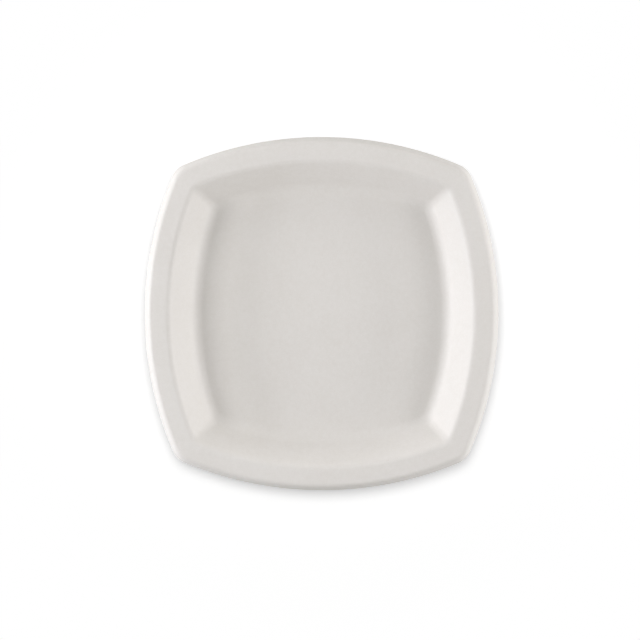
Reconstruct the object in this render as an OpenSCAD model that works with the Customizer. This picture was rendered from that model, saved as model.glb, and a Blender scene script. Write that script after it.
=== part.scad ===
// Square disposable plate with four bowed sides, moulded in one piece from one
// even sheet of fibre: a flat floor, a rounded foot, a straight sloped wall, a
// flat rim, and a lip that turns down all round the outside.
// Millimetres, +Z up, origin at the centre of the underside, on the table.

/* [Plate] */
// Width over the lip, from the middle of one side to the middle of the other
plate_w = 254; // [200:1:330]
// Height of the rim's upper face above the table
plate_h = 21; // [16:0.5:28]
// Thickness of the moulded sheet
sheet_t = 0.8; // [0.6:0.1:1.4]
// Radius of each bowed side at the lip's edge
side_r = 254; // [230:1:500]

/* [Well] */
// Slope of the wall, up from the table
wall_angle = 49; // [35:1:65]
// Radius of the bend from the floor up into the wall, on the food side
foot_bend_r = 12; // [8:0.5:16]
// Radius of the bend from the wall out into the rim, on the food side
edge_bend_r = 6; // [3:0.5:8]
// Radius of the floor's corners
floor_corner_r = 4; // [3:0.5:12]

/* [Rim and lip] */
// Width of the flat face of the rim
rim_w = 9.2; // [6:0.1:16]
// Slope of the lip, down from the rim
lip_angle = 60; // [30:1:75]
// Radius of the bend from the rim down into the lip, on the upper face
lip_bend_r = 4; // [2.5:0.5:6]
// Length of the lip's straight part, to where the sheet is cut square
lip_len = 4.7; // [2:0.1:7]
// Radius of the plate's corners at the lip's edge
corner_r = 16; // [13:0.5:30]

/* [Hidden] */

$fa = 2;
$fs = 0.3;

// Pieces that join on a flat overlap there by this width.
lap = floor_corner_r / 2;
// A bend is made of narrow bands, each turned by no more than this.
band_turn = 12;

// The sheet's upper face runs outward step by step. A step is a straight
// [length, 0], or a bend [radius, turn], where a turn above zero goes uphill.
wall_rise = plate_h - sheet_t - (foot_bend_r + edge_bend_r) * (1 - cos(wall_angle));
wall_steps = [[lap, 0], [foot_bend_r, wall_angle], [wall_rise / sin(wall_angle), 0],
              [edge_bend_r, -wall_angle], [lap, 0]];
lip_steps = [[lap, 0], [lip_bend_r, -lip_angle], [lip_len, 0]];

// The places that a step leads through, each [out, up, slope], from one place
function straight(size, at) =
    [[at[0] + size * cos(at[2]), at[1] + size * sin(at[2]), at[2]]];
function bend(radius, turn, at) = let (bands = ceil(abs(turn) / band_turn))
    [for (i = [1 : bands]) let (slope = at[2] + turn * i / bands)
        [at[0] + sign(turn) * radius * (sin(slope) - sin(at[2])),
         at[1] + sign(turn) * radius * (cos(at[2]) - cos(slope)), slope]];
function step(size, turn, at) = turn == 0 ? straight(size, at) : bend(size, turn, at);

// The places of a face that follows its steps one after another
function last(places) = places[len(places) - 1];
function path(steps, places, i = 0) = i == len(steps)
    ? places
    : path(steps, concat(places, step(steps[i][0], steps[i][1], last(places))), i + 1);
wall_path = path(wall_steps, [[-lap, sheet_t, 0]]);
lip_path = path(lip_steps, [[-lap, plate_h, 0]]);

// Radii that meeting pieces share are whole numbers of these parts of a
// millimetre, so that they are the same to the last digit.
fine_parts = 1000;
function fine(length) = round(length * fine_parts) / fine_parts;

// Each side is an arc about a point on the far side of the plate's centre, and
// the foot and the rim bow about the same four points as the lip's edge.
side_offset = side_r - plate_w / 2;
rim_side_r = fine(side_r - last(lip_path)[0]);
wall_side_r = rim_side_r - rim_w;
foot_side_r = fine(wall_side_r - last(wall_path)[0] + lap);

// A corner's arc touches the two sides beside it. Its centre is this far from
// the sides' centres, once for the corners of the well and once for the lip's.
well_gap = fine(foot_side_r - floor_corner_r);
lip_gap = fine(side_r - corner_r);

// The corner's centre is on the diagonal, this far along each axis, and the
// side's arc ends this angle away from the middle of the side.
function corner_at(gap) = (sqrt(2 * pow(gap, 2) - pow(side_offset, 2)) - side_offset) / 2;
function side_end(gap) = atan2(corner_at(gap), corner_at(gap) + side_offset);

// The flat shape inside four sides of this radius and their corners
module outline(radius, gap) {
    at = corner_at(gap);
    end = side_end(gap);
    // Each corner is cut off between the ends of its side arcs, then rounded.
    cut = radius * (cos(end) + sin(end)) - side_offset;
    intersection() {
        polygon([[cut, 0], [0, cut], [-cut, 0], [0, -cut]]);
        intersection_for(turn = [0 : 90 : 270])
            rotate(turn) translate([-side_offset, 0]) circle(r = radius);
    }
    for (turn = [0 : 90 : 270])
        rotate(turn) translate([at, at]) circle(r = radius - gap);
}

// The sheet under a path of its upper face
module sheet(places) {
    upper = [for (at = places) [at[0], at[1]]];
    lower = [for (at = places)
        [at[0] + sheet_t * sin(at[2]), at[1] - sheet_t * cos(at[2])]];
    polygon(concat(upper, [for (i = [1 : len(lower)]) lower[len(lower) - i]]));
}

// A section carried round an eighth of the plate, from the middle of a side to
// the diagonal: about the side's centre, and then about the corner's centre.
// The two sweeps share one turned frame, so that they meet on one plane.
module carry_eighth(hand, radius, gap) {
    end = side_end(gap);
    intersection() {
        translate([0, 0, -lap]) linear_extrude(plate_h + 2 * lap)
            polygon([[0, 0], [plate_w, 0], [plate_w, hand * plate_w]]);
        translate([-side_offset, 0]) rotate(hand * end) {
            rotate_extrude(angle = -2 * hand * end)
                translate([radius, 0]) children();
            translate([gap, 0]) rotate_extrude(angle = hand * (90 - 2 * end))
                translate([radius - gap, 0]) children();
        }
    }
}

module carry_round(radius, gap) {
    for (turn = [0 : 90 : 270]) rotate(turn)
        for (hand = [-1, 1]) carry_eighth(hand, radius, gap) children();
}

module floor_panel() {
    linear_extrude(sheet_t) outline(foot_side_r - lap / 2, well_gap);
}

// Foot bend, sloped wall and edge bend
module wall() {
    carry_round(foot_side_r, well_gap) sheet(wall_path);
}

module rim_panel() {
    translate([0, 0, plate_h - sheet_t]) linear_extrude(sheet_t) difference() {
        outline(rim_side_r - lap / 2, lip_gap);
        outline(wall_side_r + lap / 2, well_gap);
    }
}

// Lip bend and lip
module lip() {
    carry_round(rim_side_r, lip_gap) sheet(lip_path);
}

module plate() {
    color([0.86, 0.85, 0.82]) {
        floor_panel();
        wall();
        rim_panel();
        lip();
    }
}

plate();
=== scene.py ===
import math

import bpy
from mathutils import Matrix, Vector, noise


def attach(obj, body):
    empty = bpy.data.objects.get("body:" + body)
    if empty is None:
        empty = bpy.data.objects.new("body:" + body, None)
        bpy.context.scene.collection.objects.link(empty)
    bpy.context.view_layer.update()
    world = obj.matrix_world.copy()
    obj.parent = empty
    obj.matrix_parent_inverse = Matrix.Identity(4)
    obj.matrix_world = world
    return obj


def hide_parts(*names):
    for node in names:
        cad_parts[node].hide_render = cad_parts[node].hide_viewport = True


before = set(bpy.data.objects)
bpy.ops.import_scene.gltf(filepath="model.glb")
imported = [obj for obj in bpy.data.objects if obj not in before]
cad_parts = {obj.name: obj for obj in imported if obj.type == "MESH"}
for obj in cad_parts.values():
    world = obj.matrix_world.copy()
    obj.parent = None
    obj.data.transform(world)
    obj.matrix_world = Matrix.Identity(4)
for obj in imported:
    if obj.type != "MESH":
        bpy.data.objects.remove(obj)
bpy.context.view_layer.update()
print("frame loaded")


class Wire:
    # one output of a node tree; arithmetic on it adds Math nodes
    def __init__(self, tree, socket=None):
        self.tree = tree
        self.socket = socket

    def add(self, kind, settings=None, sockets=None, out=0):
        node = self.tree.nodes.new(kind)
        for name, value in (settings or {}).items():
            setattr(node, name, value)
        for name, value in (sockets or {}).items():
            if isinstance(value, Wire):
                self.tree.links.new(value.socket, node.inputs[name])
            else:
                node.inputs[name].default_value = value
        return Wire(self.tree, node.outputs[out] if node.outputs else None)

    def output(self, name):
        # another output of the same node
        return Wire(self.tree, self.socket.node.outputs[name])

    def maths(self, operation, *values, clamp=False):
        return self.add("ShaderNodeMath", {"operation": operation, "use_clamp": clamp},
                        dict(enumerate(values)))

    def __add__(self, other):
        return self.maths("ADD", self, other)

    def __radd__(self, other):
        return self.maths("ADD", other, self)

    def __sub__(self, other):
        return self.maths("SUBTRACT", self, other)

    def __rsub__(self, other):
        return self.maths("SUBTRACT", other, self)

    def __mul__(self, other):
        return self.maths("MULTIPLY", self, other)

    def __rmul__(self, other):
        return self.maths("MULTIPLY", other, self)

    def __gt__(self, other):
        return self.maths("GREATER_THAN", self, other)

    def __abs__(self):
        return self.maths("ABSOLUTE", self)

    def larger(self, other):
        return self.maths("MAXIMUM", self, other)

    def sine(self):
        return self.maths("SINE", self)

    def clamped(self):
        return self.maths("ADD", self, 0, clamp=True)

    def noise(self, scale, detail=2, rough=0.5, warp=0):
        return self.add("ShaderNodeTexNoise", {"noise_dimensions": "3D"},
                        {"Vector": self, "Scale": scale, "Detail": detail,
                         "Roughness": rough, "Distortion": warp})

    def turned(self, angle, cell):
        # the same place in a grid of cells of this size, turned about Z
        return self.add("ShaderNodeMapping", {"vector_type": "TEXTURE"},
                        {"Vector": self, "Rotation": (0, 0, math.radians(angle)),
                         "Scale": cell})

    def blend(self, first, second):
        # from the first colour to the second as this goes from 0 to 1
        return self.add("ShaderNodeMix", {"data_type": "RGBA", "blend_type": "MIX"},
                        {0: self, 6: first, 7: second}, out=2)


def newMaterial(name):
    material = bpy.data.materials.new(name)
    material.use_nodes = True
    material.node_tree.nodes.clear()
    return material, Wire(material.node_tree)


def opaque(colour):
    return (*colour, 1)


def grey(level):
    return (level, level, level, 1)


# the plate: the same values as the part's source, in metres and degrees
plate = {
    "width": 0.254,
    "height": 0.021,
    "sheet": 0.0008,
    "sideRadius": 0.254,
    "cornerRadius": 0.016,    # at the lip
    "wellCorner": 0.009,      # the well's corners are tighter
    "wallSlope": 49,
    "footBend": 0.012,
    "edgeBend": 0.006,
    "rimWidth": 0.0092,
    "lipBend": 0.004,
    "lipSlope": 60,
    "lipLength": 0.0047,
    "trimRadius": 0.0002,     # rounding of the two corners of the trimmed edge
    "unevenness": 0.00012,    # how far the pressed sheet wanders up and down
    "unevenSize": 0.045,
    "evenInside": 0.02,       # the wander grows from here outward, over this width
    "evenFade": 0.06,
    # mesh steps along the section and round the plan
    "footSteps": 15,
    "wallSteps": 8,
    "edgeSteps": 12,
    "rimSteps": 5,
    "lipBendSteps": 14,
    "lipSteps": 5,
    "floorRings": (0.12, 0.3, 0.5, 0.7, 0.86),
    "sideStations": 24,
    "cornerStations": 9,
}

sideOffset = plate["sideRadius"] - plate["width"] / 2
turnDown = math.radians(plate["lipSlope"])
rimStart = (plate["sideRadius"] - plate["rimWidth"] - plate["lipBend"] * math.sin(turnDown)
            - plate["lipLength"] * math.cos(turnDown))


def straightRun(start, size, count):
    out, up, slope = start
    angle = math.radians(slope)
    return [(out + size * i / count * math.cos(angle),
             up + size * i / count * math.sin(angle), slope)
            for i in range(1, count + 1)]


def bendRun(start, radius, turn, count):
    out, up, slope = start
    side = math.copysign(1, turn)
    first = math.radians(slope)
    run = []
    for i in range(1, count + 1):
        angle = first + math.radians(turn) * i / count
        run.append((out + side * radius * (math.sin(angle) - math.sin(first)),
                    up + side * radius * (math.cos(first) - math.cos(angle)),
                    math.degrees(angle)))
    return run


def upperFace():
    # places of the upper face from the foot outward: distance out, height, slope
    slope = plate["wallSlope"]
    bends = (plate["footBend"] + plate["edgeBend"]) * (1 - math.cos(math.radians(slope)))
    rise = plate["height"] - plate["sheet"] - bends
    face = [(0, plate["sheet"], 0)]
    face += bendRun(face[-1], plate["footBend"], slope, plate["footSteps"])
    face += straightRun(face[-1], rise / math.sin(math.radians(slope)), plate["wallSteps"])
    face += bendRun(face[-1], plate["edgeBend"], -slope, plate["edgeSteps"])
    face += straightRun(face[-1], plate["rimWidth"], plate["rimSteps"])
    face += bendRun(face[-1], plate["lipBend"], -plate["lipSlope"], plate["lipBendSteps"])
    face += straightRun(face[-1], plate["lipLength"], plate["lipSteps"])
    return face


def trimmedEdge(tip, slope):
    # the cut edge from the upper face to the lower, with its two corners just taken off
    along = Vector((math.cos(slope), math.sin(slope)))
    across = Vector((math.sin(slope), -math.cos(slope)))
    small, sheet = plate["trimRadius"], plate["sheet"]
    turns = (math.pi / 2, math.pi / 4, 0)
    edge = [tip + across * small * (1 - math.sin(a)) - along * small * (1 - math.cos(a))
            for a in turns]
    edge += [tip + across * (sheet - small * (1 - math.sin(a))) - along * small * (1 - math.cos(a))
             for a in reversed(turns)]
    return [tuple(place) for place in edge]


def ring(sideRadius):
    # one round of the plate's plan, as four bowed sides and their corners
    share = min(1, max(0, (sideRadius - rimStart) / plate["rimWidth"]))
    corner = plate["wellCorner"] + (plate["cornerRadius"] - plate["wellCorner"]) * share
    gap = sideRadius - corner
    centre = (math.sqrt(2 * gap ** 2 - sideOffset ** 2) - sideOffset) / 2
    end = math.atan2(centre, centre + sideOffset)
    eighth = []
    for i in range(plate["sideStations"]):
        angle = end * i / plate["sideStations"]
        eighth.append((sideRadius * math.cos(angle) - sideOffset, sideRadius * math.sin(angle)))
    for i in range(plate["cornerStations"]):
        angle = end + (math.pi / 4 - end) * i / (plate["cornerStations"] - 1)
        eighth.append((centre + corner * math.cos(angle), centre + corner * math.sin(angle)))
    quarter = eighth + [(y, x) for x, y in reversed(eighth[1:-1])]
    places = []
    for turn in range(4):
        places += quarter
        quarter = [(-y, x) for x, y in quarter]
    return places


def uneven(x, y, z):
    # a place of the sheet, moved by the slow wander of the pressed fibre
    far = min(1, max(0, (math.hypot(x, y) - plate["evenInside"]) / plate["evenFade"]))
    wander = noise.noise(Vector((x, y, 0)) / plate["unevenSize"])
    return (x, y, z + wander * plate["unevenness"] * far)


def makePlate():
    face = upperFace()
    sheet, shares = plate["sheet"], plate["floorRings"]
    footRadius = plate["sideRadius"] - face[-1][0]
    upper = [(footRadius + out, up) for out, up, slope in face]
    lower = [(footRadius + out + sheet * math.sin(math.radians(slope)),
              up - sheet * math.cos(math.radians(slope))) for out, up, slope in face]
    edge = trimmedEdge(Vector(upper[-1]), math.radians(face[-1][2]))
    upper[-1], lower[-1] = edge[0], edge[-1]

    # rounds of the mesh: out over the food side, down the cut edge and back underneath
    foot = ring(footRadius)
    rounds = [([(x * share, y * share) for x, y in foot], sheet) for share in shares]
    rounds += [(ring(radius), up) for radius, up in upper + edge[1:-1] + lower[::-1]]
    rounds += [([(x * share, y * share) for x, y in foot], 0) for share in reversed(shares)]
    trimStart = len(shares) + len(upper) - 1
    trimEnd = trimStart + len(edge) - 1

    vertices = [uneven(0, 0, sheet)]
    for points, up in rounds:
        vertices += [uneven(x, y, up) for x, y in points]
    vertices.append(uneven(0, 0, 0))

    count = len(foot)
    last = len(vertices) - 1
    faces = [(0, 1 + i, 1 + (i + 1) % count) for i in range(count)]
    finishes = [0] * count    # 0 food side, 1 screen side, 2 cut edge
    for j in range(len(rounds) - 1):
        a, b = 1 + j * count, 1 + (j + 1) * count
        faces += [(a + i, b + i, b + (i + 1) % count, a + (i + 1) % count)
                  for i in range(count)]
        finishes += [0 if j < trimStart else 2 if j < trimEnd else 1] * count
    a = last - count
    faces += [(a + i, last, a + (i + 1) % count) for i in range(count)]
    finishes += [1] * count

    mesh = bpy.data.meshes.new("mouldedPlate")
    mesh.from_pydata(vertices, [], faces)
    mesh.polygons.foreach_set("material_index", finishes)
    mesh.polygons.foreach_set("use_smooth", [True] * len(faces))
    mesh.validate()
    mesh.update()
    piece = bpy.data.objects.new("mouldedPlate", mesh)
    bpy.context.scene.collection.objects.link(piece)
    return piece


# pressed fibre, as the smooth food side, the screen side and the cut edge
fibre = {
    "colour": (0.757, 0.73, 0.692),
    "shade": (0.707, 0.676, 0.63),
    "roughness": 0.46,
    "roughChange": 0.16,
    "gloss": 0.4,
    "strandLength": 0.0045,
    "strandWidth": 0.0004,
    "strandReach": 0.0015,    # up and down
    "strandTurns": (12, 71, 133),
    "strandSharpness": 9,
    "strandShade": 0.7,       # how much each of the three shades the sheet
    "clump": 0.0035,
    "clumpShade": 0.9,
    "broadScale": 28,
    "broadShade": 0.7,
    "meanShade": 0.32,
    "fleck": (0.56, 0.49, 0.40),
    "fleckCell": (0.008, 0.014, 0.01),
    "fleckTurn": 25,
    "fleckSize": 0.05,        # as a share of its cell
    "fleckSoftness": 30,
    "fleckEmpty": 0.82,       # share of the cells that have none
    "fleckStrength": 0.35,
    "screenPitch": 0.0009,
    "screenDepth": 0.00006,
}


def strands(place):
    # long thin fibres lying three ways, as ridges from 0 to 1
    best = None
    cell = (fibre["strandLength"], fibre["strandWidth"], fibre["strandReach"])
    for angle in fibre["strandTurns"]:
        bent = place.turned(angle, cell).noise(1, detail=1, rough=0.4, warp=0.3)
        ridge = (1 - abs(bent - 0.5) * fibre["strandSharpness"]).larger(0)
        best = ridge if best is None else best.larger(ridge)
    return best


def flecks(place):
    # a few short flecks of darker stalk
    cells = place.turned(fibre["fleckTurn"], fibre["fleckCell"])
    spots = cells.add("ShaderNodeTexVoronoi", {"feature": "F1"}, {"Vector": cells, "Scale": 1})
    pick = cells.add("ShaderNodeSeparateColor", sockets={0: spots.output("Color")})
    return ((fibre["fleckSize"] - spots) * fibre["fleckSoftness"]).clamped() \
        * (pick > fibre["fleckEmpty"])


def weave(place):
    # the square pattern of the forming screen, from -1 to 1
    across = place.add("ShaderNodeSeparateXYZ", sockets={0: place})
    turn = 2 * math.pi / fibre["screenPitch"]
    return (across * turn).sine() * (across.output("Y") * turn).sine()


def pressedFibre(name, screened=False, strandDepth=0.00003, clumpDepth=0.00004,
                 roughness=fibre["roughness"]):
    material, start = newMaterial(name)
    place = start.add("ShaderNodeTexCoord", out="Object")
    lines = strands(place)
    clumps = place.noise(1 / fibre["clump"], detail=3, rough=0.55)
    broad = place.noise(fibre["broadScale"], detail=2, rough=0.5)
    shading = (clumps - 0.5) * fibre["clumpShade"] + (broad - 0.5) * fibre["broadShade"] \
        + (lines - 0.5) * fibre["strandShade"] + fibre["meanShade"]
    base = shading.clamped().blend(opaque(fibre["colour"]), opaque(fibre["shade"]))
    base = (flecks(place) * fibre["fleckStrength"]).blend(base, opaque(fibre["fleck"]))

    height = lines * strandDepth + clumps * clumpDepth
    if screened:
        height = height + weave(place) * fibre["screenDepth"]
    bump = start.add("ShaderNodeBump", {},
                     {"Strength": 1.0, "Distance": 1.0, "Height": height})
    rough = (clumps - 0.5) * fibre["roughChange"] + roughness
    shader = start.add("ShaderNodeBsdfPrincipled", {}, {
        "Base Color": base, "Roughness": rough, "Normal": bump,
        "IOR": 1.45, "Specular IOR Level": fibre["gloss"]})
    start.add("ShaderNodeOutputMaterial", {}, {0: shader})
    return material


piece = makePlate()
for material in (pressedFibre("pressedFace"),
                 pressedFibre("screenFace", screened=True, roughness=0.6),
                 pressedFibre("cutEdge", strandDepth=0.00005, clumpDepth=0.00006,
                              roughness=0.75)):
    piece.data.materials.append(material)
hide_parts("plate")
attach(piece, "root")
print("plate made:", len(piece.data.vertices), "points")


# the studio: white table, world and softboxes
studio = {
    "tableSize": 12,
    "tableDrop": 0.0004,      # the table lies this far below the plate
    "tableAlbedo": 0.8,
    "tableGlow": 0.384,
    "whiteFrom": 0.135,       # away from the plate the table turns plain white
    "whiteAt": 0.26,
    "worldLight": 0.205,
    "boxDistance": 1.6,
    "boxTarget": (0, 0, 0.01),
    "boxWidth": 0.9,
}

# azimuth is counted from image-right, and a box lights the plate alone or the table alone
softboxes = {
    "leftLow": {"azimuth": 180, "elevation": 13, "height": 0.28, "watts": 13.5,
                "tint": (0.98, 1, 1.08)},
    "leftHigh": {"azimuth": 180, "elevation": 31, "height": 0.36, "watts": 9.9,
                 "tint": (1, 1, 1.03)},
    "rightLow": {"azimuth": -4, "elevation": 12, "height": 0.24, "watts": 9.7,
                 "tint": (1, 1, 1.03)},
    "rightHigh": {"azimuth": -4, "elevation": 27, "height": 0.34, "watts": 7.6,
                  "tint": (1, 1, 1.03)},
    "backWide": {"azimuth": 90, "elevation": 22, "height": 0.45, "watts": 3.9},
    "backFlat": {"azimuth": 90, "elevation": 3, "height": 0.1, "watts": 2.4},
    "frontLow": {"azimuth": 270, "elevation": 12, "height": 0.25, "watts": 1.0},
    "overhead": {"azimuth": 90, "elevation": 85, "width": 1.0, "height": 1.0, "watts": 4.8},
    "tableTop": {"azimuth": 97, "elevation": 75, "width": 1.0, "height": 1.0, "watts": 18.2,
                 "lit": "table"},
}


def seenPlainly(start):
    # 1 to the camera and in mirror-like reflections, 0 as a source of scattered light
    camera = start.add("ShaderNodeLightPath", out="Is Camera Ray")
    return camera.larger(camera.output("Is Glossy Ray"))


def makeTable():
    half, z = studio["tableSize"] / 2, -studio["tableDrop"]
    mesh = bpy.data.meshes.new("table")
    mesh.from_pydata([(-half, -half, z), (half, -half, z), (half, half, z), (-half, half, z)],
                     [], [(0, 1, 2, 3)])
    table = bpy.data.objects.new("table", mesh)
    bpy.context.scene.collection.objects.link(table)
    material, start = newMaterial("tableWhite")
    surface = start.add("ShaderNodeBsdfDiffuse", {}, {"Color": grey(studio["tableAlbedo"])})
    glow = start.add("ShaderNodeEmission", {},
                     {"Color": grey(1), "Strength": studio["tableGlow"]})
    near = start.add("ShaderNodeAddShader", {}, {0: surface, 1: glow})
    plain = start.add("ShaderNodeEmission", {}, {"Color": grey(1), "Strength": 1.0})
    place = start.add("ShaderNodeNewGeometry", out="Position")
    away = place.add("ShaderNodeVectorMath", {"operation": "LENGTH"}, {0: place}, out="Value")
    far = away.add("ShaderNodeMapRange", {"interpolation_type": "SMOOTHSTEP"},
                   {"Value": away, "From Min": studio["whiteFrom"],
                    "From Max": studio["whiteAt"]})
    shown = start.add("ShaderNodeMixShader", {}, {0: far, 1: near, 2: plain})
    mixed = start.add("ShaderNodeMixShader", {},
                      {0: seenPlainly(start), 1: surface, 2: shown})
    start.add("ShaderNodeOutputMaterial", {}, {0: mixed})
    mesh.materials.append(material)
    return table


def makeWorld():
    world = bpy.data.worlds.new("studioWorld")
    world.use_nodes = True
    world.node_tree.nodes.clear()
    start = Wire(world.node_tree)
    low = studio["worldLight"]
    strength = seenPlainly(start) * (1 - low) + low
    sky = start.add("ShaderNodeBackground", {}, {"Color": grey(1), "Strength": strength})
    start.add("ShaderNodeOutputWorld", {}, {0: sky})
    bpy.context.scene.world = world


table = makeTable()
makeWorld()

# the table has its own lamp above it, so that low lamps throw no long shadows
litGroups = {}
for name, thing in (("plate", piece), ("table", table)):
    litGroups[name] = bpy.data.collections.new(name + "Lit")
    litGroups[name].objects.link(thing)


def aim(thing, target):
    way = Vector(target) - thing.location
    thing.rotation_euler = way.to_track_quat("-Z", "Y").to_euler()


def softbox(name, azimuth, elevation, height, watts, width=studio["boxWidth"],
            tint=(1, 1, 1), lit="plate"):
    lamp = bpy.data.lights.new(name, "AREA")
    lamp.shape = "RECTANGLE"
    lamp.size, lamp.size_y = width, height
    lamp.energy, lamp.color = watts, tint
    box = bpy.data.objects.new(name, lamp)
    a, e, far = math.radians(azimuth), math.radians(elevation), studio["boxDistance"]
    box.location = (far * math.cos(e) * math.cos(a), far * math.cos(e) * math.sin(a),
                    far * math.sin(e))
    aim(box, studio["boxTarget"])
    box.visible_camera = False
    box.light_linking.receiver_collection = litGroups[lit]
    bpy.context.scene.collection.objects.link(box)


for name, values in softboxes.items():
    softbox(name, **values)
print("studio lit")


# the camera: straight above, leaning a little from image-top and image-right
view = {
    "above": 1.3,
    "leanBack": 2.85,
    "leanRight": 0.6,
    "aim": (-0.00100, -0.00364, 0.021),
    "frameWidth": 0.4566,     # how much the picture shows across, at the rim's height
    "sensor": 36,
    "nearest": 0.05,
    "farthest": 50,
}


def makeCamera():
    aimX, aimY, aimZ = view["aim"]
    rise = view["above"] - aimZ
    back, right = math.radians(view["leanBack"]), math.radians(view["leanRight"])
    lens = bpy.data.cameras.new("photoCamera")
    lens.sensor_width = view["sensor"]
    lens.lens = view["sensor"] * rise / view["frameWidth"]
    lens.clip_start, lens.clip_end = view["nearest"], view["farthest"]
    camera = bpy.data.objects.new("photoCamera", lens)
    camera.location = (aimX + rise * math.tan(right), aimY + rise * math.tan(back),
                       view["above"])
    camera.rotation_euler = (-back, right, back * right)
    bpy.context.scene.collection.objects.link(camera)
    bpy.context.scene.camera = camera


makeCamera()
bpy.context.scene.view_settings.view_transform = "Standard"
print("camera set")
